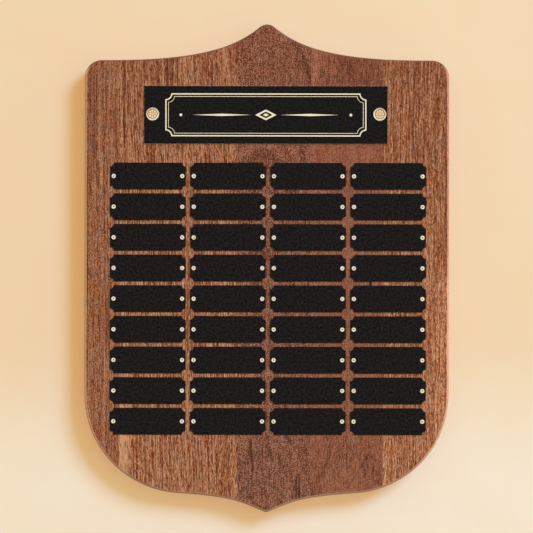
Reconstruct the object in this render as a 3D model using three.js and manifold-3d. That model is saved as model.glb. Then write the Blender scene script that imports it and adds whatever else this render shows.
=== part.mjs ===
// Perpetual award shield: a wall plaque of five edge-glued walnut staves, a black header plate
// held by two rosette tacks, and a grid of black name plates, each held by two domed pins.
// Millimetres, +Z up, face towards -Y. The origin is the middle of the flat back.
import * as THREE from 'three';
import { mergeVertices } from 'three/addons/utils/BufferGeometryUtils.js';
import Module from 'manifold-3d';

// Board. The drops are measured down from the peak, the rises up from the tip. A pull is how
// far a curve runs on along its end's slope, as a share of the curve's width or height.
const BOARD = {
  width: 304.8,
  height: 408,
  thickness: 19.05,
  edgeRound: 2.2, // eased front edge
  peakRadius: 9.3, // round top point
  peakSlope: 38.7, // degrees that the flank falls at the peak
  peakPullShare: 0.18,
  shoulderDrop: 30,
  shoulderFlat: 6.1, // level run between the flank and the round corner
  shoulderPullShare: 0.661,
  cornerRadius: 14.6,
  sideRise: 101.3, // where the straight sides end
  sidePullShare: 0.687,
  hipRise: 16.1, // where the lower corner meets the foot
  hipWidthShare: 0.5, // of the board's width, between the two hips
  hipSlope: 3.85, // degrees
  hipOuterPullShare: 0.388,
  hipInnerPullShare: 0.672,
  footPullShare: 0.286,
  footSlope: 22.5, // degrees that the foot falls at the tip
  tipRadius: 4,
};

// Staves, left to right: each value is where a stave's right side lies, seen from the front
const STAVE_JOINTS = [-123.4, -24.5, 36.9, 97.1];

// Header plate and its tacks
const HEADER = {
  width: 203.6,
  height: 48.4,
  thickness: 0.8,
  centreDrop: 75.9,
  offset: -0.9, // set a little left of the board's middle
  tackInset: 6.9,
  tackRise: 0.7, // the tacks sit this much over the plate's middle
  tackShift: 0.3, // and this much to the right
};
const TACK = {
  headRadius: 5.5,
  rimHeight: 0.9,
  crownHeight: 2.3,
  petals: 8,
  petalOuterRadius: 4.5,
  petalInnerRadius: 1.9,
  petalDepth: 0.5,
  shankRadius: 0.9,
  shankLength: 12,
};

// Name plates and their pins
const PLATE = { width: 63.3, height: 22.4, thickness: 0.6, notchRadius: 3.2, pinInset: 3 };
const GRID = { columns: 4, rows: 9, columnGap: 3.6, rowGap: 3.2, topDrop: 115.9, offset: 1.1 };
const PIN = { headRadius: 1.95, headHeight: 1.1, shankRadius: 0.6, shankLength: 10 };

// Keyhole slot routed in the back, for one wall screw
const KEYHOLE = {
  mouthDrop: 56, // peak down to the centre of the mouth
  mouthRadius: 5.2,
  travel: 17, // mouth centre up to the seat of the screw
  neckWidth: 5.4,
  lip: 4.6, // wood left behind the screw head
  headWidth: 10.4,
  headDepth: 5.4,
};

const SHANK_CLEARANCE = 0.3; // round each shank, and past its point
const OVERRUN = 5; // how far cutters run past the wood
const SHORTEST_EDGE = 0.001; // anything shorter is rounding, not an edge

// Facets
const CURVE_STEPS = 12;
const ARC_STEPS = 6;
const EDGE_STEPS = 3;
const NOTCH_STEPS = 2;
const SLOT_STEPS = 5;
const SHANK_SIDES = 6;
const PIN_SIDES = 9;
const PIN_DOME_STEPS = 2;
const TACK_SIDES = 18;
const PETAL_STEPS = 2;

const TOP = BOARD.height / 2;
const FRONT = -BOARD.thickness;

const walnut = (colour) =>
  new THREE.MeshStandardMaterial({ color: colour, roughness: 0.55, metalness: 0 });
const WALNUTS = ['#8f5d42', '#95603f', '#824f39', '#81503a', '#9b6546'].map(walnut);
const BLACK_BRASS = new THREE.MeshStandardMaterial({
  color: '#1f1c1c',
  roughness: 0.45,
  metalness: 0.3,
});
const GOLD_BRASS = new THREE.MeshStandardMaterial({
  color: '#e0bd86',
  roughness: 0.3,
  metalness: 1,
});

const wasm = await Module();
wasm.setup();

// A closed three.js geometry as a manifold solid
function toSolid(geometry) {
  const bare = geometry.index ? geometry.toNonIndexed() : geometry.clone();
  bare.deleteAttribute('normal');
  bare.deleteAttribute('uv');
  const merged = mergeVertices(bare);
  const solid = new wasm.Manifold(
    new wasm.Mesh({
      numProp: 3,
      vertProperties: new Float32Array(merged.attributes.position.array),
      triVerts: new Uint32Array(merged.index.array),
    }),
  );
  return solid;
}

// A manifold solid as a three.js geometry
function toGeometry(solid) {
  const mesh = solid.getMesh();
  const geometry = new THREE.BufferGeometry();
  geometry.setAttribute('position', new THREE.BufferAttribute(mesh.vertProperties, 3));
  geometry.setIndex(new THREE.BufferAttribute(mesh.triVerts, 1));
  geometry.computeVertexNormals();
  return geometry;
}

// A drawing in x and z, given thickness from its back plane towards the viewer
function slabFrom(shape, backY, thickness, options = {}) {
  const geometry = new THREE.ExtrudeGeometry(shape, {
    depth: thickness,
    bevelEnabled: false,
    curveSegments: SLOT_STEPS,
    ...options,
  });
  geometry.rotateX(Math.PI / 2);
  geometry.translate(0, backY, 0);
  return geometry;
}

// A box from its lowest to its highest corner
function boxBetween(low, high) {
  const size = high.map((value, axis) => value - low[axis]);
  const geometry = new THREE.BoxGeometry(...size);
  geometry.translate(...low.map((value, axis) => value + size[axis] / 2));
  return toSolid(geometry);
}

// A turned solid on a line along y: the profile holds pairs of radius and y, from back to front
function turned(profile, sides, x, z) {
  const points = profile.map(([radius, y]) => new THREE.Vector2(radius, y));
  const geometry = new THREE.LatheGeometry(points.reverse(), sides);
  geometry.translate(x, 0, z);
  return toSolid(geometry);
}

// Half of the board outline, right side, from the peak down to the tip
function outlineHalf() {
  const peak = THREE.MathUtils.degToRad(BOARD.peakSlope);
  const hip = THREE.MathUtils.degToRad(BOARD.hipSlope);
  const foot = THREE.MathUtils.degToRad(BOARD.footSlope);
  const side = BOARD.width / 2;
  const flankStart = new THREE.Vector2(
    BOARD.peakRadius * Math.sin(peak),
    TOP - BOARD.peakRadius * (1 - Math.cos(peak)),
  );
  const shoulder = new THREE.Vector2(
    side - BOARD.cornerRadius - BOARD.shoulderFlat,
    TOP - BOARD.shoulderDrop,
  );
  const sideEnd = new THREE.Vector2(side, BOARD.sideRise - TOP);
  const hipPoint = new THREE.Vector2(side * BOARD.hipWidthShare, BOARD.hipRise - TOP);
  const tipStart = new THREE.Vector2(
    BOARD.tipRadius * Math.sin(foot),
    BOARD.tipRadius * (1 - Math.cos(foot)) - TOP,
  );
  const flankWidth = shoulder.x - flankStart.x;
  const cornerWidth = side - hipPoint.x;
  const footWidth = hipPoint.x - tipStart.x;
  const corner = new THREE.Vector2(side - BOARD.cornerRadius, shoulder.y - BOARD.cornerRadius);

  const path = new THREE.Path();
  path.absarc(0, TOP - BOARD.peakRadius, BOARD.peakRadius, Math.PI / 2, Math.PI / 2 - peak, true);
  path.bezierCurveTo(
    flankStart.x + BOARD.peakPullShare * flankWidth * Math.cos(peak),
    flankStart.y - BOARD.peakPullShare * flankWidth * Math.sin(peak),
    shoulder.x - BOARD.shoulderPullShare * flankWidth,
    shoulder.y,
    shoulder.x,
    shoulder.y,
  );
  path.absarc(corner.x, corner.y, BOARD.cornerRadius, Math.PI / 2, 0, true);
  path.lineTo(sideEnd.x, sideEnd.y);
  path.bezierCurveTo(
    side,
    sideEnd.y - BOARD.sidePullShare * (BOARD.sideRise - BOARD.hipRise),
    hipPoint.x + BOARD.hipOuterPullShare * cornerWidth * Math.cos(hip),
    hipPoint.y + BOARD.hipOuterPullShare * cornerWidth * Math.sin(hip),
    hipPoint.x,
    hipPoint.y,
  );
  path.bezierCurveTo(
    hipPoint.x - BOARD.hipInnerPullShare * footWidth * Math.cos(hip),
    hipPoint.y - BOARD.hipInnerPullShare * footWidth * Math.sin(hip),
    tipStart.x + BOARD.footPullShare * footWidth * Math.cos(foot),
    tipStart.y + BOARD.footPullShare * footWidth * Math.sin(foot),
    tipStart.x,
    tipStart.y,
  );
  path.absarc(0, BOARD.tipRadius - TOP, BOARD.tipRadius, foot - Math.PI / 2, -Math.PI / 2, true);
  return curvePoints(path);
}

// A path as points: many along its free curves, fewer round its arcs, two on its straight lines
function curvePoints(path) {
  const stepsOf = (curve) => {
    if (curve.isLineCurve) return 1;
    return curve.isEllipseCurve ? ARC_STEPS : CURVE_STEPS;
  };
  const curves = path.curves.filter((curve) => curve.getLength() > SHORTEST_EDGE);
  const points = curves.flatMap((curve) => curve.getPoints(stepsOf(curve)).slice(0, -1));
  return [...points, curves.at(-1).getPoint(1)];
}

// The whole outline: the right half, then its mirror image back up to the peak
function boardOutline() {
  const right = outlineHalf();
  const left = right
    .slice(1, -1)
    .reverse()
    .map((point) => new THREE.Vector2(-point.x, point.y));
  return new THREE.Shape([...right, ...left]);
}

// The solid board with its eased front edge, before it is cut
function boardBlank() {
  const geometry = slabFrom(boardOutline(), OVERRUN, BOARD.thickness + OVERRUN - BOARD.edgeRound, {
    bevelEnabled: true,
    bevelThickness: BOARD.edgeRound,
    bevelSize: BOARD.edgeRound,
    bevelOffset: -BOARD.edgeRound,
    bevelSegments: EDGE_STEPS,
  });
  const behind = boxBetween(
    [-BOARD.width, 0, -BOARD.height],
    [BOARD.width, BOARD.thickness + OVERRUN, BOARD.height],
  );
  return toSolid(geometry).subtract(behind);
}

// Pilot hole for a shank that enters the front face
function pilotHole(x, z, shankRadius, depth) {
  const radius = shankRadius + SHANK_CLEARANCE;
  const end = FRONT + depth + SHANK_CLEARANCE;
  const mouth = FRONT - OVERRUN;
  return turned([[0, end], [radius, end], [radius, mouth], [0, mouth]], SHANK_SIDES, x, z);
}

// An upright slot with round ends, from lowZ to highZ
function slotShape(radius, lowZ, highZ) {
  const shape = new THREE.Shape();
  shape.absarc(0, highZ, radius, 0, Math.PI, false);
  shape.absarc(0, lowZ, radius, Math.PI, 2 * Math.PI, false);
  return shape;
}

// The keyhole: a round mouth, a neck up to the seat, and a wider run for the screw head behind it
function keyhole() {
  const mouthZ = TOP - KEYHOLE.mouthDrop;
  const seatZ = mouthZ + KEYHOLE.travel;
  const depth = KEYHOLE.lip + KEYHOLE.headDepth;
  const mouth = slabFrom(slotShape(KEYHOLE.mouthRadius, mouthZ, mouthZ), OVERRUN, OVERRUN + depth);
  const neck = slabFrom(slotShape(KEYHOLE.neckWidth / 2, mouthZ, seatZ), OVERRUN, OVERRUN + depth);
  const run = slabFrom(
    slotShape(KEYHOLE.headWidth / 2, mouthZ, seatZ),
    -KEYHOLE.lip,
    KEYHOLE.headDepth,
  );
  return toSolid(mouth).add(toSolid(neck)).add(toSolid(run));
}

// Centres of the name plates, from the top left, row by row
function plateCentres() {
  const pitchX = PLATE.width + GRID.columnGap;
  const pitchZ = PLATE.height + GRID.rowGap;
  const firstX = GRID.offset - ((GRID.columns - 1) / 2) * pitchX;
  const firstZ = TOP - GRID.topDrop - PLATE.height / 2;
  const centres = [];
  for (let row = 0; row < GRID.rows; row += 1) {
    for (let column = 0; column < GRID.columns; column += 1) {
      centres.push({ row, column, x: firstX + column * pitchX, z: firstZ - row * pitchZ });
    }
  }
  return centres;
}

// A name plate's outline: a rectangle with a quarter circle taken out of each corner
function plateShape(x, z) {
  const half = { x: PLATE.width / 2, z: PLATE.height / 2 };
  const notch = PLATE.notchRadius;
  const shape = new THREE.Shape();
  shape.absarc(x - half.x, z - half.z, notch, Math.PI / 2, 0, true);
  shape.absarc(x + half.x, z - half.z, notch, Math.PI, Math.PI / 2, true);
  shape.absarc(x + half.x, z + half.z, notch, 1.5 * Math.PI, Math.PI, true);
  shape.absarc(x - half.x, z + half.z, notch, 2 * Math.PI, 1.5 * Math.PI, true);
  return shape;
}

// A domed pin: its head stands on the plate's front, its shank runs back into the wood
function pin(x, z) {
  const seat = FRONT - PLATE.thickness;
  const point = FRONT + PIN.shankLength;
  const shank = turned(
    [[0, point], [PIN.shankRadius, point], [PIN.shankRadius, seat], [0, seat]],
    SHANK_SIDES,
    x,
    z,
  );
  const dome = [[0, seat]];
  for (let step = 0; step <= PIN_DOME_STEPS; step += 1) {
    const angle = (step / PIN_DOME_STEPS) * (Math.PI / 2);
    dome.push([
      step === PIN_DOME_STEPS ? 0 : PIN.headRadius * Math.cos(angle),
      seat - PIN.headHeight * Math.sin(angle),
    ]);
  }
  return shank.add(turned(dome, PIN_SIDES, x, z));
}

// Where the two pins of a plate centred on x go
function pinXs(x) {
  const reach = PLATE.width / 2 - PLATE.pinInset;
  return [x - reach, x + reach];
}

// A name plate with its two pins driven through it
function namePlate({ x, z }) {
  const options = { curveSegments: NOTCH_STEPS };
  const plate = toSolid(slabFrom(plateShape(x, z), FRONT, PLATE.thickness, options));
  return pinXs(x).reduce((pinned, pinX) => pinned.add(pin(pinX, z)), plate);
}

// The header plate, with a clearance hole for each tack
function headerPlate(centreZ, tackXs, tackZ) {
  const plate = boxBetween(
    [HEADER.offset - HEADER.width / 2, FRONT - HEADER.thickness, centreZ - HEADER.height / 2],
    [HEADER.offset + HEADER.width / 2, FRONT, centreZ + HEADER.height / 2],
  );
  return tackXs.reduce(
    (rest, x) => rest.subtract(pilotHole(x, tackZ, TACK.shankRadius, TACK.shankLength)),
    plate,
  );
}

// A rosette tack: rim, crown with petals pressed into it, and shank
function rosetteTack(x, z) {
  const seat = FRONT - HEADER.thickness;
  const point = FRONT + TACK.shankLength;
  const rim = seat - TACK.rimHeight;
  const crown = seat - TACK.crownHeight;
  const head = turned(
    [
      [0, seat],
      [TACK.headRadius, seat],
      [TACK.headRadius, rim],
      [TACK.petalOuterRadius, (rim + crown) / 2],
      [TACK.petalInnerRadius, crown],
      [0, crown],
    ],
    TACK_SIDES,
    x,
    z,
  );
  const shank = turned(
    [[0, point], [TACK.shankRadius, point], [TACK.shankRadius, seat], [0, seat]],
    SHANK_SIDES,
    x,
    z,
  );
  const petalLength = TACK.petalOuterRadius - TACK.petalInnerRadius;
  const petalRadius = (TACK.petalInnerRadius * Math.PI) / TACK.petals / 2;
  let solid = head.add(shank);
  for (let petal = 0; petal < TACK.petals; petal += 1) {
    const angle = (petal / TACK.petals) * 2 * Math.PI;
    const groove = new THREE.CapsuleGeometry(petalRadius, petalLength, PETAL_STEPS, SHANK_SIDES);
    groove.translate(0, TACK.petalInnerRadius + petalLength / 2, 0);
    groove.rotateX(Math.PI / 2);
    groove.rotateY(angle);
    groove.translate(x, crown - petalRadius + TACK.petalDepth, z);
    solid = solid.subtract(toSolid(groove));
  }
  return solid;
}

function named(name, solid, material) {
  const mesh = new THREE.Mesh(toGeometry(solid), material);
  mesh.name = name;
  return mesh;
}

const award = new THREE.Group();
const headerZ = TOP - HEADER.centreDrop;
const tackReach = HEADER.width / 2 - HEADER.tackInset;
const tackMiddle = HEADER.offset + HEADER.tackShift;
const tackXs = [tackMiddle - tackReach, tackMiddle + tackReach];
const tackZ = headerZ + HEADER.tackRise;
const plates = plateCentres();

let board = boardBlank().subtract(keyhole());
for (const x of tackXs) {
  board = board.subtract(pilotHole(x, tackZ, TACK.shankRadius, TACK.shankLength));
}
for (const { x, z } of plates) {
  for (const pinX of pinXs(x)) {
    board = board.subtract(pilotHole(pinX, z, PIN.shankRadius, PIN.shankLength));
  }
}

const staveEdges = [-BOARD.width / 2 - OVERRUN, ...STAVE_JOINTS, BOARD.width / 2 + OVERRUN];
for (let stave = 0; stave < staveEdges.length - 1; stave += 1) {
  const slab = boxBetween(
    [staveEdges[stave], FRONT - OVERRUN, -TOP - OVERRUN],
    [staveEdges[stave + 1], OVERRUN, TOP + OVERRUN],
  );
  award.add(named(`stave_${stave + 1}`, board.intersect(slab), WALNUTS[stave % WALNUTS.length]));
}

award.add(named('header_plate', headerPlate(headerZ, tackXs, tackZ), BLACK_BRASS));
award.add(named('rosette_tack_left', rosetteTack(tackXs[0], tackZ), GOLD_BRASS));
award.add(named('rosette_tack_right', rosetteTack(tackXs[1], tackZ), GOLD_BRASS));

for (const plate of plates) {
  award.add(named(`name_plate_r${plate.row + 1}_c${plate.column + 1}`, namePlate(plate), BLACK_BRASS));
}

export default award;
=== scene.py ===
"""A perpetual award shield on a pale wall: walnut staves, black plates, rosette tacks and domed brass pins.

Everything is in metres in the model's own frame: +Z up, the face towards -Y, and the origin at the
middle of the flat back. Sizes that a maker would set are dataclass fields in millimetres.
"""

import logging
import math
from dataclasses import dataclass
from enum import Enum

import bmesh
import bpy
from mathutils import Matrix, Vector

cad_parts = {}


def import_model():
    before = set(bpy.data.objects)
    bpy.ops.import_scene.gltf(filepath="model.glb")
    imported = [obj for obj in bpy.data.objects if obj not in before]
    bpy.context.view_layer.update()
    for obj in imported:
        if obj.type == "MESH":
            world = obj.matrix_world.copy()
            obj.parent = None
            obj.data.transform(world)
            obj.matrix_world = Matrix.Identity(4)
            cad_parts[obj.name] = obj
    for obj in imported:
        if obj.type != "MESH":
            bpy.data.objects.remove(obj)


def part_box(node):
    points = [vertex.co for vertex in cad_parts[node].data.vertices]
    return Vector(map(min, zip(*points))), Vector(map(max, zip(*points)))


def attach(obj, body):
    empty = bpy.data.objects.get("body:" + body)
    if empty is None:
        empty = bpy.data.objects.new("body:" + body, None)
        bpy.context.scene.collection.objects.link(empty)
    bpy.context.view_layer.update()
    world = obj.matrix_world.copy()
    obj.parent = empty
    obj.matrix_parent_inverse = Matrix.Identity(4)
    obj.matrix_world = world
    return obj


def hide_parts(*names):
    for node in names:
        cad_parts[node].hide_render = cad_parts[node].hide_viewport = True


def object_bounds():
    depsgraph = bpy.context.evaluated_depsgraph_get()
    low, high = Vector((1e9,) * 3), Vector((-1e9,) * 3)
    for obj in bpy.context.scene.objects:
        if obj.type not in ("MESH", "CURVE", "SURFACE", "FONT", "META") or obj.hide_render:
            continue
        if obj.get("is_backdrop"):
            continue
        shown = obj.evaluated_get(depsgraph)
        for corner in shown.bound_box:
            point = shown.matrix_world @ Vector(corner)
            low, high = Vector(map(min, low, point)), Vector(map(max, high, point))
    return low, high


MM = 0.001
IMAGE_PIXELS = 533
COLUMNS = 4
ROWS = 9
# A mesh shades sharp at a bend past the first, and round a face whose normal comes this near an axis.
SHARP_BEND = math.radians(35)
FLAT_NORMAL = 0.99999
# At a sharp corner an inset point moves by no more than the inset over this share.
MITRE_SHARE = 0.3

log = logging.getLogger("award_shield")

Point = tuple[float, float]
Ring = tuple[float, float]
Triple = tuple[float, float, float]
# Where an effect begins and where it is whole, then its value at each, where these aren't 0 and 1.
Span = tuple[float, ...]
Material = bpy.types.Material
Tree = bpy.types.NodeTree
Node = bpy.types.Node
Socket = bpy.types.NodeSocket

# Kinds of node that recur, with their settings. A colour mix lays OVER on UNDER.
MATH = "ShaderNodeMath"
VECTOR = "ShaderNodeVectorMath"
RANGE = "ShaderNodeMapRange"
SPLIT = "ShaderNodeSeparateXYZ"
MIX = "ShaderNodeMix"
MINUS = {"operation": "SUBTRACT"}
TIMES = {"operation": "MULTIPLY"}
TIMES_PLUS = {"operation": "MULTIPLY_ADD"}
SIZE_OF = {"operation": "ABSOLUTE"}
SCALED = {"operation": "SCALE"}
SMOOTH = {"interpolation_type": "SMOOTHSTEP"}
COLOURS = {"data_type": "RGBA"}
UNDER, OVER = 6, 7


class Layout(Enum):
    """How many pieces stand at each place of the plate grid. The value names the tree."""

    SINGLE = "plate_rows"
    PAIRED = "pin_rows"


def linear(hex_colour: str) -> tuple[float, float, float, float]:
    """Turn an sRGB hex colour into the linear colour that shaders read.

    Args:
        hex_colour: six hex digits after a hash.

    Returns:
        Red, green and blue in linear light, and an alpha of one.
    """
    digits = hex_colour.lstrip("#")
    channels = [int(digits[place : place + 2], 16) / 255 for place in (0, 2, 4)]
    bent = [c / 12.92 if c <= 0.04045 else ((c + 0.055) / 1.055) ** 2.4 for c in channels]
    return (bent[0], bent[1], bent[2], 1.0)


def add_node(tree: Tree, kind: str, settings: dict | None = None, links: dict | tuple = ()) -> Node:
    """Add one node to a tree.

    Args:
        tree: the tree that gets the node.
        kind: the node's type name.
        settings: properties of the node by name.
        links: inputs in order, or by name or number. Each is an output to link, a node whose first
            live output is linked, or a value to set.

    Returns:
        The new node.
    """
    node = tree.nodes.new(kind)
    for name, value in (settings or {}).items():
        setattr(node, name, value)
    for key, value in links.items() if isinstance(links, dict) else enumerate(links):
        if isinstance(value, Node):
            value = next(socket for socket in value.outputs if socket.enabled)
        if isinstance(value, Socket):
            tree.links.new(value, node.inputs[key])
        else:
            node.inputs[key].default_value = value
    return node


def new_material(name: str) -> tuple[Material, Tree]:
    """Make an empty node material.

    Args:
        name: the material's name.

    Returns:
        The material and its tree, still empty.
    """
    material = bpy.data.materials.new(name)
    material.use_nodes = True
    material.node_tree.nodes.clear()
    return material, material.node_tree


def object_millimetres(tree: Tree) -> Node:
    """Give a tree the place on the object, in millimetres.

    Args:
        tree: the material's tree.

    Returns:
        A node whose first output is the place.
    """
    place = add_node(tree, "ShaderNodeTexCoord").outputs["Object"]
    return add_node(tree, VECTOR, SCALED, {0: place, "Scale": 1 / MM})


def blotches(tree: Tree, place: Node, size_mm: Triple, detail: float = 2.0, roughness: float = 0.5) -> Node:
    """Draw a pattern of soft blotches that have a real size along each axis.

    Args:
        tree: the material's tree.
        place: where the surface lies, in millimetres.
        size_mm: rough size of a blotch along x, y and z.
        detail: how many finer layers ride on it.
        roughness: how strong the finer layers are.

    Returns:
        A node whose first output runs from 0 to 1, about a half on average.
    """
    scale = tuple(1 / size for size in size_mm)
    mapped = add_node(tree, "ShaderNodeMapping", links={"Vector": place, "Scale": scale})
    links = {"Vector": mapped, "Scale": 1.0, "Detail": detail, "Roughness": roughness}
    return add_node(tree, "ShaderNodeTexNoise", links=links)


def inset_outline(outline: list[Point], distance: float) -> list[Point]:
    """Move a closed clockwise or anticlockwise outline inwards.

    Args:
        outline: corner points in order.
        distance: how far in, in the outline's unit.

    Returns:
        As many points, each moved along the middle of its two edges' normals.
    """
    turns = sum(a[0] * b[1] - b[0] * a[1] for a, b in zip(outline, outline[1:] + outline[:1]))
    side = 1.0 if turns > 0 else -1.0
    moved = []
    for index, point in enumerate(outline):
        here = Vector(point)
        before = (here - Vector(outline[index - 1])).normalized()
        after = (Vector(outline[(index + 1) % len(outline)]) - here).normalized()
        normal_before = Vector((-before.y, before.x)) * side
        normal_after = Vector((-after.y, after.x)) * side
        middle = (normal_before + normal_after).normalized()
        reach = distance / max(middle.dot(normal_after), MITRE_SHARE)
        moved.append((here.x + middle.x * reach, here.y + middle.y * reach))
    return moved


def arc(centre: Point, radius: float, start: float, end: float, steps: int) -> list[Point]:
    """List points round an arc.

    Args:
        centre: the arc's centre.
        radius: its radius.
        start: direction of its first point, in degrees.
        end: direction of its last point.
        steps: facets between them.

    Returns:
        The points in order, both ends included.
    """
    turns = [math.radians(start + (end - start) * step / steps) for step in range(steps + 1)]
    return [(centre[0] + radius * math.cos(turn), centre[1] + radius * math.sin(turn)) for turn in turns]


def notched_outline(width: float, height: float, notch: float, steps: int) -> list[Point]:
    """Draw a rectangle round the origin with a quarter circle taken out of each corner.

    Args:
        width: size along x.
        height: size along z.
        notch: radius of the quarter circles.
        steps: facets in each.

    Returns:
        The outline's points, anticlockwise.
    """
    points = []
    for x, z, start in ((-1, -1, 90), (1, -1, 180), (1, 1, 270), (-1, 1, 360)):
        points += arc((x * width / 2, z * height / 2), notch, start, start - 90, steps)
    return points


def slab(outline_mm: list[Point], rings_mm: list[Ring]) -> bmesh.types.BMesh:
    """Loft a closed slab through rings of one outline, drawn in x and z.

    Args:
        outline_mm: the outline, in millimetres.
        rings_mm: pairs of inset and y, from the back cap to the front cap.

    Returns:
        A closed mesh in metres, with its faces pointing out.
    """
    mesh = bmesh.new()
    rows = []
    for inset, depth in rings_mm:
        points = inset_outline(outline_mm, inset) if inset else outline_mm
        rows.append([mesh.verts.new((x * MM, depth * MM, z * MM)) for x, z in points])
    for lower, upper in zip(rows, rows[1:]):
        count = len(lower)
        for index in range(count):
            following = (index + 1) % count
            mesh.faces.new((lower[index], lower[following], upper[following], upper[index]))
    mesh.faces.new(rows[0])
    mesh.faces.new(rows[-1])
    bmesh.ops.recalc_face_normals(mesh, faces=mesh.faces)
    return mesh


def turned(rows: list[list[bmesh.types.BMVert]], sides: int, mesh: bmesh.types.BMesh) -> None:
    """Join rings of points round an axis with faces that point out.

    Args:
        rows: rings of points in order; a ring of one point closes an end.
        sides: facets round the axis.
        mesh: the mesh that holds the points.
    """
    for lower, upper in zip(rows, rows[1:]):
        for side in range(sides):
            following = (side + 1) % sides
            ring = [lower[side % len(lower)], lower[following % len(lower)]]
            ring += [upper[following % len(upper)], upper[side % len(upper)]]
            mesh.faces.new(list(dict.fromkeys(ring)))
    bmesh.ops.recalc_face_normals(mesh, faces=mesh.faces)


def is_flat(face: bmesh.types.BMFace) -> bool:
    """Tell whether a face lies square to x or y, as caps and saw cuts do."""
    return max(abs(face.normal.x), abs(face.normal.y)) > FLAT_NORMAL


def finish_mesh(mesh: bmesh.types.BMesh, name: str) -> bpy.types.Mesh:
    """Turn a bmesh into mesh data that shades well.

    Args:
        mesh: the bmesh, which is freed.
        name: name of the data.

    Returns:
        Mesh data with smooth faces, and sharp edges round flat caps and where the shape bends.
    """
    for face in mesh.faces:
        face.smooth = True
    for edge in mesh.edges:
        caps = any(is_flat(face) for face in edge.link_faces)
        bend = edge.calc_face_angle(0.0) > SHARP_BEND
        edge.smooth = not (caps or bend)
    bmesh.ops.triangulate(mesh, faces=[face for face in mesh.faces if len(face.verts) > 4])
    data = bpy.data.meshes.new(name)
    mesh.to_mesh(data)
    mesh.free()
    return data


def link_object(name: str, data: bpy.types.ID) -> bpy.types.Object:
    """Put mesh, curve, light or camera data in the scene as an object at the origin.

    Args:
        name: the object's name.
        data: what it shows.

    Returns:
        The object.
    """
    thing = bpy.data.objects.new(name, data)
    bpy.context.scene.collection.objects.link(thing)
    return thing


def evaluated(source: bpy.types.Object, name: str) -> bpy.types.Mesh:
    """Bake an object's modifiers into new mesh data and delete the object.

    Args:
        source: the object with its modifiers.
        name: name of the new data.

    Returns:
        The plain mesh.
    """
    depsgraph = bpy.context.evaluated_depsgraph_get()
    data = bpy.data.meshes.new_from_object(source.evaluated_get(depsgraph), depsgraph=depsgraph)
    data.name = name
    bpy.data.objects.remove(source)
    return data


def dress(name: str, data: bpy.types.Mesh, material: Material, nodes: list[str]) -> None:
    """Put a finished piece in the scene in place of its CAD nodes.

    Args:
        name: the piece's name.
        data: its mesh, already in place.
        material: its finish.
        nodes: the CAD nodes that it stands for.
    """
    piece = link_object(name, data)
    data.materials.clear()
    data.materials.append(material)
    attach(piece, "root")
    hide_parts(*nodes)
    log.info("%s: %d faces in %s", name, len(data.polygons), material.name)


@dataclass(frozen=True)
class Streak:
    """A long mark in the grain, or a painted shade line at the face's edge: where it runs, how wide it is,
    and how it changes the colour under it.

    Lengths are in millimetres. It is whole over its core, a share of its half width, and fades in and
    out between low and high. It leans by its slant, a step across for each step up, about its middle.
    The shade is a factor for each of red, green and blue. Sapwood, which has little grain, takes an even
    colour instead, over a share of what lies under it.
    """

    x: float
    half_width: float
    low: float
    high: float
    shade: Triple
    core: float = 0.35
    fade: float = 0.25
    slant: float = 0.0
    even: str = ""
    cover: float = 0.7


@dataclass(frozen=True)
class WalnutCut:
    """One stave's walnut: where its log's heart lay, how its rings run, and its colours, dark to pale.

    A share is how much a layer adds to the tone. Streaks bend with the grain and straight marks keep to
    the board.
    """

    name: str
    colours: tuple[str, str, str, str]
    heart: Point
    ring_width: float
    taper: float
    sway: float
    seed: float
    lean: float = 0.0
    pore_amount: float = 0.5
    contrast: float = 1.2
    ring_share: float = 0.65
    broad_share: float = 0.35
    fibre_share: float = 1.15
    strand_share: float = 0.6
    dash_share: float = 1.8
    dash_length: float = 1.3
    cloud_share: float = 0.35
    hue_swing: float = 0.15
    streaks: tuple[Streak, ...] = ()
    straight_marks: tuple[Streak, ...] = ()


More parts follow.
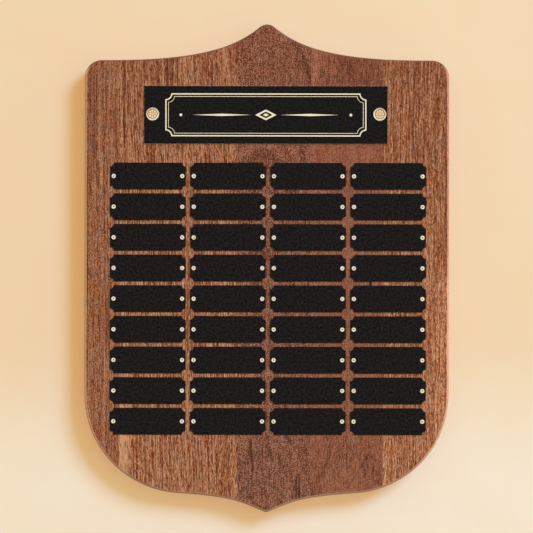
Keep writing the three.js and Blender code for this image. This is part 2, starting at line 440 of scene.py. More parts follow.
@dataclass(frozen=True)
class LacqueredWalnut:
    """American black walnut, planed, sanded and sprayed with satin lacquer.

    To the eye: ring bands that follow the log, upright fibres, short dark pores as on any open-grained
    walnut, and a soft sheen that breaks over the pores. Real fibres and pores are 0.1 to 0.3 mm wide,
    too fine for the picture, so they are drawn 0.6 mm wide. A shift is how far a stave's seed moves a
    pattern, along and up, so that no two staves match.
    """

    cut: WalnutCut
    front_mm: float
    edge_mm: float
    grain_mm: float = 0.6
    fibre_length_mm: float = 38.0
    strand_length_mm: float = 6.0
    pore_length_mm: float = 6.0
    cloud_mm: Triple = (14.0, 14.0, 70.0)
    sway_mm: Triple = (60.0, 60.0, 130.0)
    sway_detail: float = 1.5
    wander_mm: Triple = (9.0, 9.0, 48.0)
    wander_detail: float = 1.0
    wander_reach: float = 0.7
    ring_roughness: float = 0.6
    ring_shift: float = 100.0
    broad_rings: float = 8.0
    tone_shift: Point = (31.0, 17.0)
    ramp_places: tuple[float, ...] = (0.0, 0.36, 0.66, 1.0)
    drift_mm: Triple = (7.0, 7.0, 12.0)
    drift_shift: Point = (11.0, 7.0)
    drift_span: Span = (0.34, 0.66)
    drift_tilt: Triple = (-0.2, 0.28, 1.0)
    pore_colour: str = "#300f04"
    pore_strength: float = 0.6
    pore_shift: Point = (53.0, 29.0)
    pore_rings: float = 2.2
    pore_crowd: Span = (0.52, 0.36, 0.0, 0.16)
    pore_threshold: float = 0.7
    pore_swing: float = 0.12
    pore_fade: float = 0.1
    pore_roughness: float = 0.2
    tone_roughness: Span = (0.2, 0.8, 0.48, 0.4)
    relief_mm: float = 0.12
    # Edge colours: a sanded side edge lightened further by a painted sheen, a pinkish-grey foot, and a top
    # painted dark as shade.
    side_edge_sheen: str = "#eab392"
    foot_edge: str = "#b88c79"
    top_edge_shade: str = "#5e3422"
    edge_start: Point = (0.003, 0.035)
    edge_end: Point = (1.1, 2.0)
    edge_fade: Point = (1.0, 0.1)
    upward_fade: Span = (0.35, 0.95, 0.75, 0.5)
    # On the right the painted sheen keeps this share, from high up to low down.
    right_sheen_span: Span = (60.0, -60.0, 0.42, 0.7)
    right_span: Point = (0.2, 0.95)
    foot_span: Span = (-0.55, -0.95)
    top_shade_span: Span = (0.35, 0.85)

    def material(self) -> Material:
        """Build the node material for this stave.

        Returns:
            The material.
        """
        material, tree = new_material(self.cut.name)
        place = object_millimetres(tree)
        grain = self.grain_place(tree, place)
        distance = self.ring_distance(tree, grain)
        tone = self.tone(tree, grain, distance)
        pores = self.pores(tree, grain, distance)
        amount = add_node(tree, MATH, TIMES, (pores, self.pore_strength))
        drifted = self.drifted(tree, grain, self.stained(tree, tone))
        bare = self.streaked(tree, grain, drifted, self.cut.streaks)
        bare = self.streaked(tree, place, bare, self.cut.straight_marks)
        colour = add_node(tree, MIX, COLOURS, {0: amount, UNDER: bare, OVER: linear(self.pore_colour)})
        lacquer = add_node(tree, RANGE, SMOOTH, (tone, *self.tone_roughness))
        rough = add_node(tree, MATH, TIMES_PLUS, (pores, self.pore_roughness, lacquer))
        relief = add_node(tree, MATH, TIMES_PLUS, (pores, -1.0, tone))
        bump_links = {"Height": relief, "Strength": 0.35, "Distance": self.relief_mm * MM}
        look = {
            "Base Color": self.eased_edge(tree, place, colour),
            "Roughness": rough,
            "IOR": 1.45,
            "Specular IOR Level": 0.25,
            "Coat Weight": 0.4,
            "Coat Roughness": 0.3,
            "Normal": add_node(tree, "ShaderNodeBump", links=bump_links),
        }
        shader = add_node(tree, "ShaderNodeBsdfPrincipled", links=look)
        add_node(tree, "ShaderNodeOutputMaterial", links={"Surface": shader})
        return material

    def grain_place(self, tree: Tree, place: Node) -> Node:
        """Bend the place as the tree's fibres sway and lean.

        Args:
            tree: the material's tree.
            place: the place on the object, in millimetres.

        Returns:
            A node that gives the place along and across the grain.
        """
        axes = add_node(tree, SPLIT, links=(place,)).outputs
        shift = add_node(tree, MATH, TIMES, (axes[2], self.cut.lean))
        bends = (
            (self.sway_mm, self.sway_detail, self.cut.sway),
            (self.wander_mm, self.wander_detail, self.wander_reach),
        )
        for size, detail, reach in bends:
            noise = blotches(tree, place, size, detail)
            centred = add_node(tree, MATH, MINUS, (noise, 0.5))
            shift = add_node(tree, MATH, TIMES_PLUS, (centred, 2 * reach, shift))
        x = add_node(tree, MATH, links=(axes[0], shift))
        return add_node(tree, "ShaderNodeCombineXYZ", links=(x, axes[1], axes[2]))

    def ring_distance(self, tree: Tree, grain: Node) -> Node:
        """Measure the distance from the log's heart, which lies beside or behind the stave.

        Args:
            tree: the material's tree.
            grain: the place along and across the grain.

        Returns:
            A node that gives the distance in millimetres, with the log's taper added.
        """
        across = add_node(tree, VECTOR, MINUS, (grain, (*self.cut.heart, 0.0)))
        flat = add_node(tree, VECTOR, TIMES, (across, (1, 1, 0)))
        radius = add_node(tree, VECTOR, {"operation": "LENGTH"}, (flat,)).outputs["Value"]
        height = add_node(tree, SPLIT, links=(grain,)).outputs[2]
        return add_node(tree, MATH, TIMES_PLUS, (height, self.cut.taper, radius))

    def rings(self, tree: Tree, distance: Node, width_mm: float) -> Node:
        """Band the wood by its rings.

        Args:
            tree: the material's tree.
            distance: distance from the heart, in millimetres.
            width_mm: rough width of a band.

        Returns:
            A node that gives a lightness from 0 to 1, about a half on average.
        """
        shifted = add_node(tree, MATH, links=(distance, self.cut.seed * self.ring_shift))
        links = {"W": shifted, "Scale": 1 / width_mm, "Detail": 2.0, "Roughness": self.ring_roughness}
        return add_node(tree, "ShaderNodeTexNoise", {"noise_dimensions": "1D"}, links)

    def seeded(self, tree: Tree, grain: Node, shift: Point) -> Node:
        """Move a pattern's place by this stave's own seed."""
        return add_node(tree, VECTOR, links=(grain, (self.cut.seed * shift[0], 0, self.cut.seed * shift[1])))

    def tone(self, tree: Tree, grain: Node, distance: Node) -> Node:
        """Mix rings, fibres, strands, dashes and slow clouds into one lightness.

        Args:
            tree: the material's tree.
            grain: the place along and across the grain.
            distance: distance from the heart.

        Returns:
            A node that gives a lightness of about 0 to 1.
        """
        place = self.seeded(tree, grain, self.tone_shift)
        cut, wide = self.cut, self.grain_mm
        layers = (
            (self.rings(tree, distance, cut.ring_width), cut.ring_share),
            (self.rings(tree, distance, self.broad_rings * cut.ring_width), cut.broad_share),
            (blotches(tree, place, (wide, wide, self.fibre_length_mm), 0.0), cut.fibre_share),
            (blotches(tree, place, (wide, wide, self.strand_length_mm), 0.0), cut.strand_share),
            (blotches(tree, place, (wide, wide, cut.dash_length), 0.0), cut.dash_share),
            (blotches(tree, place, self.cloud_mm, 2.0), cut.cloud_share),
        )
        total: Node | float = (1 - cut.contrast * sum(share for _, share in layers)) / 2
        for layer, share in layers:
            total = add_node(tree, MATH, TIMES_PLUS, (layer, share * cut.contrast, total))
        return total

    def stained(self, tree: Tree, tone: Node) -> Node:
        """Colour the tone with this stave's four colours.

        Args:
            tree: the material's tree.
            tone: lightness from 0 to 1.

        Returns:
            A node that gives the colour.
        """
        ramp = add_node(tree, "ShaderNodeValToRGB", links=(tone,))
        while len(ramp.color_ramp.elements) < len(self.ramp_places):
            ramp.color_ramp.elements.new(0.5)
        for element, place, shade in zip(ramp.color_ramp.elements, self.ramp_places, self.cut.colours):
            element.position = place
            element.color = linear(shade)
        return ramp

    def drifted(self, tree: Tree, grain: Node, colour: Node) -> Node:
        """Let the hue drift between warm and greyish patches, as heartwood does.

        Args:
            tree: the material's tree.
            grain: the place along and across the grain.
            colour: the colour that drifts.

        Returns:
            A node that gives the drifted colour.
        """
        patches = blotches(tree, self.seeded(tree, grain, self.drift_shift), self.drift_mm, 1.0)
        side = add_node(tree, RANGE, SMOOTH, (patches, *self.drift_span))
        warm, grey = (
            (*(1 + sign * self.cut.hue_swing * tilt for tilt in self.drift_tilt), 1.0) for sign in (-1, 1)
        )
        factor = add_node(tree, MIX, COLOURS, {0: side, UNDER: warm, OVER: grey})
        return add_node(tree, VECTOR, TIMES, (colour, factor))

    def streaked(self, tree: Tree, along: Node, colour: Node, marks: tuple[Streak, ...]) -> Node:
        """Lay this stave's own marks over its colour.

        Args:
            tree: the material's tree.
            along: the place that the marks follow, in the grain or on the board.
            colour: the colour under them.
            marks: the marks.

        Returns:
            A node that gives the marked colour.
        """
        axes = add_node(tree, SPLIT, links=(along,)).outputs
        for mark in marks:
            start = mark.x - mark.slant * (mark.low + mark.high) / 2
            away = add_node(tree, MATH, MINUS, (axes[0], start))
            away = add_node(tree, MATH, TIMES_PLUS, (axes[2], -mark.slant, away))
            far = add_node(tree, MATH, SIZE_OF, (away,))
            fade = mark.fade * (mark.high - mark.low)
            edge, core = mark.half_width, mark.core * mark.half_width
            across = add_node(tree, RANGE, SMOOTH, (far, edge, core))
            up = add_node(tree, RANGE, SMOOTH, (axes[2], mark.low, mark.low + fade))
            down = add_node(tree, RANGE, SMOOTH, (axes[2], mark.high, mark.high - fade))
            length = add_node(tree, MATH, TIMES, (up, down))
            mask = add_node(tree, MATH, TIMES, (across, length))
            if mark.even:
                cover = add_node(tree, MATH, TIMES, (mask, mark.cover))
                colour = add_node(tree, MIX, COLOURS, {0: cover, UNDER: colour, OVER: linear(mark.even)})
                continue
            white, shade = (1.0, 1.0, 1.0, 1.0), (*mark.shade, 1.0)
            factor = add_node(tree, MIX, COLOURS, {0: mask, UNDER: white, OVER: shade})
            colour = add_node(tree, VECTOR, TIMES, (colour, factor))
        return colour

    def pores(self, tree: Tree, grain: Node, distance: Node) -> Node:
        """Mark the short dark pores, which crowd along the rings.

        Args:
            tree: the material's tree.
            grain: the place along and across the grain.
            distance: distance from the heart.

        Returns:
            A node that gives 1 in a pore and 0 beside it.
        """
        size = (self.grain_mm, self.grain_mm, self.pore_length_mm)
        dashes = blotches(tree, self.seeded(tree, grain, self.pore_shift), size, 0.0)
        bands = self.rings(tree, distance, self.pore_rings * self.cut.ring_width)
        crowd = add_node(tree, RANGE, SMOOTH, (bands, *self.pore_crowd))
        amount = add_node(tree, MATH, links=(dashes, crowd))
        threshold = self.pore_threshold - self.pore_swing * self.cut.pore_amount
        return add_node(tree, RANGE, SMOOTH, (amount, threshold, threshold + self.pore_fade))

    def eased_edge(self, tree: Tree, place: Node, colour: Node) -> Node:
        """Colour the rounded front edge, where sanding thinned the stain.

        Sanding left the edge a little lighter, and a painted sheen lightens it further on the sides; on the
        right, where the lamp falls, the painted sheen is weaker, most near the top. Facing down it takes a
        pinkish grey, and facing up it is painted dark, a painted shade. The colour starts a hair behind the
        face and fades past the rounding.

        Args:
            tree: the material's tree.
            place: the place on the object, in millimetres.
            colour: the face's colour.

        Returns:
            A node that gives the colour of face and edge.
        """
        _, depth, height = add_node(tree, SPLIT, links=(place,)).outputs
        start, end = (
            [self.front_mm + share * self.edge_mm for share in shares]
            for shares in (self.edge_start, self.edge_end)
        )
        amount = add_node(tree, RANGE, SMOOTH, (depth, *start))
        normal = add_node(tree, "ShaderNodeTexCoord").outputs["Normal"]
        flat = add_node(tree, VECTOR, TIMES, (normal, (1, 0, 1)))
        outwards = add_node(tree, VECTOR, {"operation": "NORMALIZE"}, (flat,))
        rightward, _, upward = add_node(tree, SPLIT, links=(outwards,)).outputs
        strength = add_node(tree, RANGE, SMOOTH, (upward, *self.upward_fade))
        behind = add_node(tree, RANGE, SMOOTH, (depth, *end, *self.edge_fade))
        # On the right, where the lamp falls, the painted sheen is cut back, most near the top.
        right_sheen_by_height = add_node(tree, RANGE, SMOOTH, (height, *self.right_sheen_span))
        right_sheen = add_node(tree, RANGE, SMOOTH, (rightward, *self.right_span, 1.0, right_sheen_by_height))
        foot = add_node(tree, RANGE, SMOOTH, (upward, *self.foot_span))
        # Facing up, the edge takes the painted shade colour.
        head = add_node(tree, RANGE, SMOOTH, (upward, *self.top_shade_span))
        sides, foot_tint, top = map(linear, (self.side_edge_sheen, self.foot_edge, self.top_edge_shade))
        edge_tint = add_node(tree, MIX, COLOURS, {0: foot, UNDER: sides, OVER: foot_tint})
        edge_tint = add_node(tree, MIX, COLOURS, {0: head, UNDER: edge_tint, OVER: top})
        for share in (strength, behind, right_sheen):
            amount = add_node(tree, MATH, TIMES, (amount, share))
        return add_node(tree, MIX, COLOURS, {0: amount, UNDER: colour, OVER: edge_tint})


@dataclass(frozen=True)
class BlackEnamel:
    """Satin black enamel, rolled and baked on brass sheet.

    To the eye: near black and faintly mottled, with a soft sheen and level rub marks from polishing
    cloths. Real rub marks are finer than 0.1 mm, so they are drawn 0.3 mm high.
    """

    name: str
    dark: str
    light: str
    mottle_mm: Triple = (1.8, 1.8, 1.8)
    mottle_detail: float = 4.0
    mottle_roughness: float = 0.65
    mottle_span: Span = (0.3, 0.7)
    grit_mm: Triple = (0.35, 0.35, 0.35)
    rub_mm: Triple = (14.0, 14.0, 0.3)
    rub_roughness: Span = (0.55, 0.75, 0.36, 0.5)
    relief_mm: float = 0.03

    def material(self) -> Material:
        """Build the node material.

        Returns:
            The material.
        """
        material, tree = new_material(self.name)
        place = object_millimetres(tree)
        mottle = blotches(tree, place, self.mottle_mm, self.mottle_detail, self.mottle_roughness)
        amount = add_node(tree, RANGE, SMOOTH, (mottle, *self.mottle_span))
        shades = {0: amount, UNDER: linear(self.dark), OVER: linear(self.light)}
        rubbed = blotches(tree, place, self.rub_mm)
        marks = add_node(tree, RANGE, SMOOTH, (rubbed, *self.rub_roughness))
        grit = blotches(tree, place, self.grit_mm)
        bump_links = {"Height": grit, "Strength": 0.25, "Distance": self.relief_mm * MM}
        look = {
            "Base Color": add_node(tree, MIX, COLOURS, shades),
            "Roughness": marks,
            "Specular IOR Level": 0.15,
            "Normal": add_node(tree, "ShaderNodeBump", links=bump_links),
        }
        shader = add_node(tree, "ShaderNodeBsdfPrincipled", links=look)
        add_node(tree, "ShaderNodeOutputMaterial", links={"Surface": shader})
        return material


@dataclass(frozen=True)
class Brass:
    """Lacquered yellow brass, stamped, sheared or engraved: bright metal with faint rub marks.

    A stamped piece carries brown patina in its grooves, where the polishing wheel never reached. The
    patina follows the piece's own attribute.
    """

    name: str
    bright: str
    dull: str
    roughness: float
    grain_mm: Triple = (1.5, 1.5, 1.5)
    metallic: float = 1.0
    patina: str = ""
    patina_span: Span = (0.35, 0.95)
    tarnish_detail: float = 3.0
    tarnish_roughness: float = 0.6
    tarnish_span: Span = (0.42, 0.72)
    rub_span: Point = (0.35, 0.75)
    rub_dulling: float = 0.1

    def material(self) -> Material:
        """Build the node material.

        Returns:
            The material.
        """
        material, tree = new_material(self.name)
        place = object_millimetres(tree)
        tarnish = blotches(tree, place, self.grain_mm, self.tarnish_detail, self.tarnish_roughness)
        amount = add_node(tree, RANGE, SMOOTH, (tarnish, *self.tarnish_span))
        shades = {0: amount, UNDER: linear(self.bright), OVER: linear(self.dull)}
        colour = add_node(tree, MIX, COLOURS, shades)
        if self.patina:
            recess = add_node(tree, "ShaderNodeAttribute", {"attribute_name": "patina"}).outputs["Fac"]
            depth = add_node(tree, RANGE, SMOOTH, (recess, *self.patina_span))
            colour = add_node(tree, MIX, COLOURS, {0: depth, UNDER: colour, OVER: linear(self.patina)})
        rubbed = (tarnish, *self.rub_span, self.roughness, self.roughness + self.rub_dulling)
        look = {
            "Base Color": colour,
            "Roughness": add_node(tree, RANGE, SMOOTH, rubbed),
            "Metallic": self.metallic,
        }
        shader = add_node(tree, "ShaderNodeBsdfPrincipled", links=look)
        add_node(tree, "ShaderNodeOutputMaterial", links={"Surface": shader})
        return material


@dataclass(frozen=True)
class ShieldOutline:
    """The shield's outline. Drops run down from the peak and rises run up from the tip, in millimetres.

    A pull is how far a curve runs on along its end's slope, as a share of the curve's width or height.
    """

    width: float
    height: float
    peak_radius: float = 9.3
    peak_slope: float = 38.7
    peak_pull_share: float = 0.18
    shoulder_drop: float = 30.0
    shoulder_flat: float = 6.1
    shoulder_pull_share: float = 0.661
    corner_radius: float = 14.6
    side_rise: float = 101.3
    side_pull_share: float = 0.687
    hip_rise: float = 16.1
    hip_width_share: float = 0.5
    hip_slope: float = 3.85
    hip_outer_pull_share: float = 0.388
    hip_inner_pull_share: float = 0.672
    foot_pull_share: float = 0.286
    foot_slope: float = 22.5
    tip_radius: float = 4.0
    arc_steps: int = 14
    curve_steps: int = 40

    def sweep(self, start: Point, pull: Point, settle: Point, end: Point) -> list[Point]:
        """Run a cubic curve between two points.

        Args:
            start: where it leaves.
            pull: the first control point.
            settle: the second control point.
            end: where it arrives.

        Returns:
            The points between its ends, in order.
        """
        points = []
        for step in range(1, self.curve_steps):
            t = step / self.curve_steps
            weights = ((1 - t) ** 3, 3 * t * (1 - t) ** 2, 3 * t * t * (1 - t), t**3)
            corners = (start, pull, settle, end)
            points.append(tuple(sum(w * c[axis] for w, c in zip(weights, corners)) for axis in (0, 1)))
        return points

    def upper_right(self, top: float, side: float) -> list[Point]:
        """Draw the flank, the shoulder and the round corner.

        Args:
            top: z of the peak.
            side: x of the straight side.

        Returns:
            Points from the peak down to the corner's end.
        """
        peak = math.radians(self.peak_slope)
        flank = (self.peak_radius * math.sin(peak), top - self.peak_radius * (1 - math.cos(peak)))
        shoulder = (side - self.corner_radius - self.shoulder_flat, top - self.shoulder_drop)
        flank_width = shoulder[0] - flank[0]
        leave = self.peak_pull_share * flank_width
        pull = (flank[0] + leave * math.cos(peak), flank[1] - leave * math.sin(peak))
        settle = (shoulder[0] - self.shoulder_pull_share * flank_width, shoulder[1])
        round_peak = ((0, top - self.peak_radius), self.peak_radius, 90, 90 - self.peak_slope)
        points = arc(*round_peak, self.arc_steps)
        points += self.sweep(flank, pull, settle, shoulder)
        points.append(shoulder)
        corner = (side - self.corner_radius, shoulder[1] - self.corner_radius)
        return points + arc(corner, self.corner_radius, 90, 0, self.arc_steps)

    def lower_right(self, top: float, side: float) -> list[Point]:
        """Draw the sweep from the straight side round the hip and the foot.

        Args:
            top: z of the peak.
            side: x of the straight side.

        Returns:
            Points from the side's end down to the tip.
        """
        hip, foot = math.radians(self.hip_slope), math.radians(self.foot_slope)
        side_end = (side, self.side_rise - top)
        hip_point = (side * self.hip_width_share, self.hip_rise - top)
        tip = (self.tip_radius * math.sin(foot), self.tip_radius * (1 - math.cos(foot)) - top)
        outer = self.hip_outer_pull_share * (side - hip_point[0])
        inner = self.hip_inner_pull_share * (hip_point[0] - tip[0])
        arrive = self.foot_pull_share * (hip_point[0] - tip[0])
        fall = (side, side_end[1] - self.side_pull_share * (self.side_rise - self.hip_rise))
        reach_hip = (hip_point[0] + outer * math.cos(hip), hip_point[1] + outer * math.sin(hip))
        leave_hip = (hip_point[0] - inner * math.cos(hip), hip_point[1] - inner * math.sin(hip))
        reach_tip = (tip[0] + arrive * math.cos(foot), tip[1] + arrive * math.sin(foot))
        points = [side_end, *self.sweep(side_end, fall, reach_hip, hip_point), hip_point]
        points += self.sweep(hip_point, leave_hip, reach_tip, tip)
        round_tip = ((0, self.tip_radius - top), self.tip_radius, self.foot_slope - 90, -90)
        return points + arc(*round_tip, self.arc_steps)

    def points(self) -> list[Point]:
        """List the whole outline.

        Returns:
            Its points, clockwise from the peak.
        """
        top, side = self.height / 2, self.width / 2
        right = self.upper_right(top, side) + self.lower_right(top, side)
        return right + [(-x, z) for x, z in reversed(right[1:-1])]


@dataclass
class ShieldBoard:
    """The walnut board: staves sawn from one shield-shaped solid, with a keyhole routed in the back.

    The ease's shape gives its rings as shares of its size, in from the outline and out from the wall.
    """

    edges: list[float]
    outline: ShieldOutline
    thickness: float
    cuts: tuple[WalnutCut, ...]
    edge_round: float = 2.2
    edge_steps: int = 8
    back_ease: float = 0.5
    ease_shape: tuple[Ring, ...] = ((1.0, 0.0), (0.15, 0.3), (0.0, 1.0))
    mouth_drop: float = 56.0
    mouth_radius: float = 5.2
    travel: float = 17.0
    neck_width: float = 5.4
    lip: float = 4.6
    head_width: float = 10.4
    head_depth: float = 5.4
    plunge_mark: float = 0.2
    bit_weld: float = 0.001
    weld: float = 0.004
    slot_steps: int = 16
    overrun: float = 3.0

    def blank(self) -> bmesh.types.BMesh:
        """Make the whole board before it is sawn into staves.

        Returns:
            The board as a closed mesh.
        """
        rings = [(inset * self.back_ease, -rise * self.back_ease) for inset, rise in self.ease_shape]
        centre = (self.edge_round, self.edge_round - self.thickness)
        rings += arc(centre, self.edge_round, 180, 270, self.edge_steps)
        return slab(self.outline.points(), rings)

    def stave(self, low: float, high: float) -> bmesh.types.BMesh:
        """Cut one stave out of the board, between two upright planes.

        Args:
            low: x of the left plane, in millimetres.
            high: x of the right plane.

        Returns:
            The stave as a closed mesh.
        """
        mesh = self.blank()
        for place, outwards in ((low, -1), (high, 1)):
            if abs(place) >= self.outline.width / 2:
                continue
            geometry = mesh.verts[:] + mesh.edges[:] + mesh.faces[:]
            plane = {"plane_co": (place * MM, 0, 0), "plane_no": (outwards, 0, 0)}
            bmesh.ops.bisect_plane(mesh, geom=geometry, clear_outer=True, **plane)
            rim = [edge for edge in mesh.edges if edge.is_boundary]
            bmesh.ops.holes_fill(mesh, edges=rim, sides=0)
        bmesh.ops.recalc_face_normals(mesh, faces=mesh.faces)
        return mesh

    def slot_outline(self, radius: float, low: float, high: float) -> list[Point]:
        """Draw an upright slot with round ends.

        Args:
            radius: half its width.
            low: z of the lower end's centre.
            high: z of the upper end's centre.

        Returns:
            The outline's points.
        """
        upper = arc((0, high), radius, 0, 180, self.slot_steps)
        return upper + arc((0, low), radius, 180, 360, self.slot_steps)

    def rout_keyhole(self, data: bpy.types.Mesh) -> bpy.types.Mesh:
        """Rout the keyhole into a stave's back.

        Args:
            data: the stave that takes the wall screw.

        Returns:
            The routed stave.
        """
        mouth = self.outline.height / 2 - self.mouth_drop
        seat = mouth + self.travel
        floor = -self.lip - self.head_depth
        plunge, middle = floor - self.plunge_mark, (floor - self.lip) / 2
        passes = (
            (self.mouth_radius, mouth, self.overrun, plunge),
            (self.neck_width / 2, seat, self.overrun, middle),
            (self.head_width / 2, seat, -self.lip, floor),
        )
        for radius, end, back, front in passes:
            cutter = slab(self.slot_outline(radius, mouth, end), [(0.0, back), (0.0, front)])
            bmesh.ops.remove_doubles(cutter, verts=cutter.verts, dist=self.bit_weld * MM)
            blade = link_object("router_bit", finish_mesh(cutter, "router_bit"))
            work = link_object("stave_blank", data)
            cut = work.modifiers.new("keyhole", "BOOLEAN")
            cut.operation = "DIFFERENCE"
            cut.solver = "EXACT"
            cut.object = blade
            data = evaluated(work, "stave_routed")
            bpy.data.objects.remove(blade)
        routed = bmesh.new()
        routed.from_mesh(data)
        bmesh.ops.remove_doubles(routed, verts=routed.verts, dist=self.weld * MM)
        bmesh.ops.dissolve_degenerate(routed, edges=routed.edges, dist=self.weld * MM)
        return finish_mesh(routed, "stave_routed")

    def build(self) -> None:
        """Make every stave and dress it in its own walnut."""
        for index, cut in enumerate(self.cuts):
            low, high = self.edges[index], self.edges[index + 1]
            name = f"stave_{index + 1}"
            data = finish_mesh(self.stave(low, high), name)
            if low < 0 < high:
                data = self.rout_keyhole(data)
            finish = LacqueredWalnut(cut, front_mm=-self.thickness, edge_mm=self.edge_round)
            dress(f"walnut_{name}", data, finish.material(), [name])


@dataclass
class PlateGrid:
    """The name plates in columns and rows, each an enamelled brass sheet held by two domed pins.

    The film's edge gives its rings as shares: in by the burr, and up through the film.
    """

    nodes: list[str]
    columns: int
    rows: int
    width: float
    height: float
    column_pitch: float
    row_pitch: float
    centre: Vector
    seat: float
    notch_radius: float = 3.2
    notch_steps: int = 8
    sheet: float = 0.52
    film: float = 0.08
    film_edge: tuple[Ring, ...] = ((0.2, 0.0), (0.4, 0.6), (1.0, 1.0))
    burr: float = 0.06
    pin_inset: float = 3.0
    pin_radius: float = 1.95
    pin_height: float = 0.95
    pin_sides: int = 20
    pin_rings: int = 5
    wobble: float = 0.12
    pin_tilt: float = 3.0
    seed: int = 7

    def plate_outline(self) -> list[Point]:
        """Draw a plate: a rectangle with a quarter circle taken out of each corner."""
        return notched_outline(self.width, self.height, self.notch_radius, self.notch_steps)

    def sheet_mesh(self) -> bmesh.types.BMesh:
        """Make one plate's sheared brass sheet, standing on the board's face."""
        front = -self.sheet
        return slab(self.plate_outline(), [(0.0, 0.0), (0.0, front + self.burr), (self.burr, front)])

    def film_mesh(self) -> bmesh.types.BMesh:
        """Make one plate's enamel, which stands on the sheet and stops just short of its sheared edge."""
        rings = [(inset * self.burr, -self.sheet - rise * self.film) for inset, rise in self.film_edge]
        return slab(self.plate_outline(), rings)

    def pin_mesh(self) -> bmesh.types.BMesh:
        """Turn one pin's domed head, seated on the enamel.

        Returns:
            A closed mesh round the y axis.
        """
        seat = -self.sheet - self.film
        profile = [(0.0, seat), (self.pin_radius, seat)]
        for ring in range(1, self.pin_rings + 1):
            angle = math.pi / 2 * ring / self.pin_rings
            radius = 0.0 if ring == self.pin_rings else self.pin_radius * math.cos(angle)
            profile.append((radius, seat - self.pin_height * math.sin(angle)))
        mesh = bmesh.new()
        rows = []
        for radius, depth in profile:
            ring = arc((0, 0), radius, 0, 360, self.pin_sides)[: self.pin_sides if radius else 1]
            rows.append([mesh.verts.new(Vector((x, depth, z)) * MM) for x, z in ring])
        turned(rows, self.pin_sides, mesh)
        return mesh

    def inputs(self, tree: Tree) -> Node:
        """Give a tree its named inputs and its output.

        Args:
            tree: the Geometry Nodes tree.

        Returns:
            The group's input node.
        """
        sockets = {
            "Piece": "NodeSocketObject",
            "Columns": "NodeSocketInt",
            "Rows": "NodeSocketInt",
            "Column Pitch": "NodeSocketFloat",
            "Row Pitch": "NodeSocketFloat",
            "Centre": "NodeSocketVector",
            "Reach": "NodeSocketVector",
            "Wobble": "NodeSocketVector",
            "Seed": "NodeSocketInt",
            "Finish": "NodeSocketMaterial",
        }
        tree.interface.new_socket("Geometry", in_out="OUTPUT", socket_type="NodeSocketGeometry")
        for name, kind in sockets.items():
            tree.interface.new_socket(name, in_out="INPUT", socket_type=kind)
        return add_node(tree, "NodeGroupInput")

    def places(self, tree: Tree, given: bpy.types.bpy_prop_collection, layout: Layout) -> Node:
        """Set out the places on the grid, one for each piece.

        Args:
            tree: the Geometry Nodes tree.
            given: the group's inputs.
            layout: one piece on each place, or one at each end of the plate.

        Returns:
            A node that gives the places as points.
        """
        spans = []
        for count, pitch in (("Columns", "Column Pitch"), ("Rows", "Row Pitch")):
            gaps = add_node(tree, MATH, MINUS, (given[count], 1.0))
            spans.append(add_node(tree, MATH, TIMES, (gaps, given[pitch])))
        size = {"Size X": spans[0], "Size Y": spans[1]}
        size |= {"Vertices X": given["Columns"], "Vertices Y": given["Rows"]}
        grid = add_node(tree, "GeometryNodeMeshGrid", links=size)
        move = {"Geometry": grid, "Translation": given["Centre"], "Rotation": (math.pi / 2, 0, 0)}
        upright = add_node(tree, "GeometryNodeTransform", links=move)
        if layout is Layout.SINGLE:
            return upright
        back = add_node(tree, VECTOR, SCALED, {0: given["Reach"], "Scale": -1.0})
        join = add_node(tree, "GeometryNodeJoinGeometry")
        for reach in (given["Reach"], back):
            end = add_node(tree, "GeometryNodeTransform", links={"Geometry": upright, "Translation": reach})
            tree.links.new(end.outputs[0], join.inputs[0])
        return join

    def tree(self, layout: Layout) -> Tree:
        """Build the tree that sets a piece on every place of the grid.

        Args:
            layout: how many pieces stand at each place.

        Returns:
            The Geometry Nodes tree, with named inputs for its sizes.
        """
        tree = bpy.data.node_groups.new(layout.value, "GeometryNodeTree")
        given = self.inputs(tree).outputs
        places = self.places(tree, given, layout)
        opposite = add_node(tree, VECTOR, SCALED, {0: given["Wobble"], "Scale": -1.0})
        turn_links = {0: opposite, 1: given["Wobble"], "Seed": given["Seed"]}
        turn = add_node(tree, "FunctionNodeRandomValue", {"data_type": "FLOAT_VECTOR"}, turn_links)
        own_space = {"transform_space": "ORIGINAL"}
        piece = add_node(tree, "GeometryNodeObjectInfo", own_space, {"Object": given["Piece"]})
        copy_links = {"Points": places, "Instance": piece.outputs["Geometry"], "Rotation": turn}
        copies = add_node(tree, "GeometryNodeInstanceOnPoints", links=copy_links)
        solid = add_node(tree, "GeometryNodeRealizeInstances", links=(copies,))
        paint_links = {"Geometry": solid, "Material": given["Finish"]}
        painted = add_node(tree, "GeometryNodeSetMaterial", links=paint_links)
        add_node(tree, "NodeGroupOutput", links=(painted,))
        return tree

    def spread(
        self, name: str, mesh: bmesh.types.BMesh, tree: Tree, turn: Triple, material: Material
    ) -> None:
        """Set one piece on the whole grid and dress all its copies.

        Args:
            name: name of the result.
            mesh: the piece, with its seat at the origin.
            tree: the tree that spreads it.
            turn: largest turn about x, y and z, in radians.
            material: the finish that the tree sets.
        """
        piece = link_object(f"{name}_single", finish_mesh(mesh, name))
        carrier = link_object(f"{name}_grid", bpy.data.meshes.new(f"{name}_grid"))
        modifier = carrier.modifiers.new("grid", "NODES")
        modifier.node_group = tree
        values = {
            "Piece": piece,
            "Columns": self.columns,
            "Rows": self.rows,
            "Column Pitch": self.column_pitch * MM,
            "Row Pitch": self.row_pitch * MM,
            "Centre": (self.centre.x * MM, self.seat * MM, self.centre.z * MM),
            "Reach": ((self.width / 2 - self.pin_inset) * MM, 0.0, 0.0),
            "Wobble": turn,
            "Seed": self.seed,
            "Finish": material,
        }
        for item in tree.interface.items_tree:
            if item.item_type == "SOCKET" and item.in_out == "INPUT":
                modifier[item.identifier] = values[item.name]
        data = evaluated(carrier, name)
        bpy.data.objects.remove(piece)
        dress(name, data, material, self.nodes)

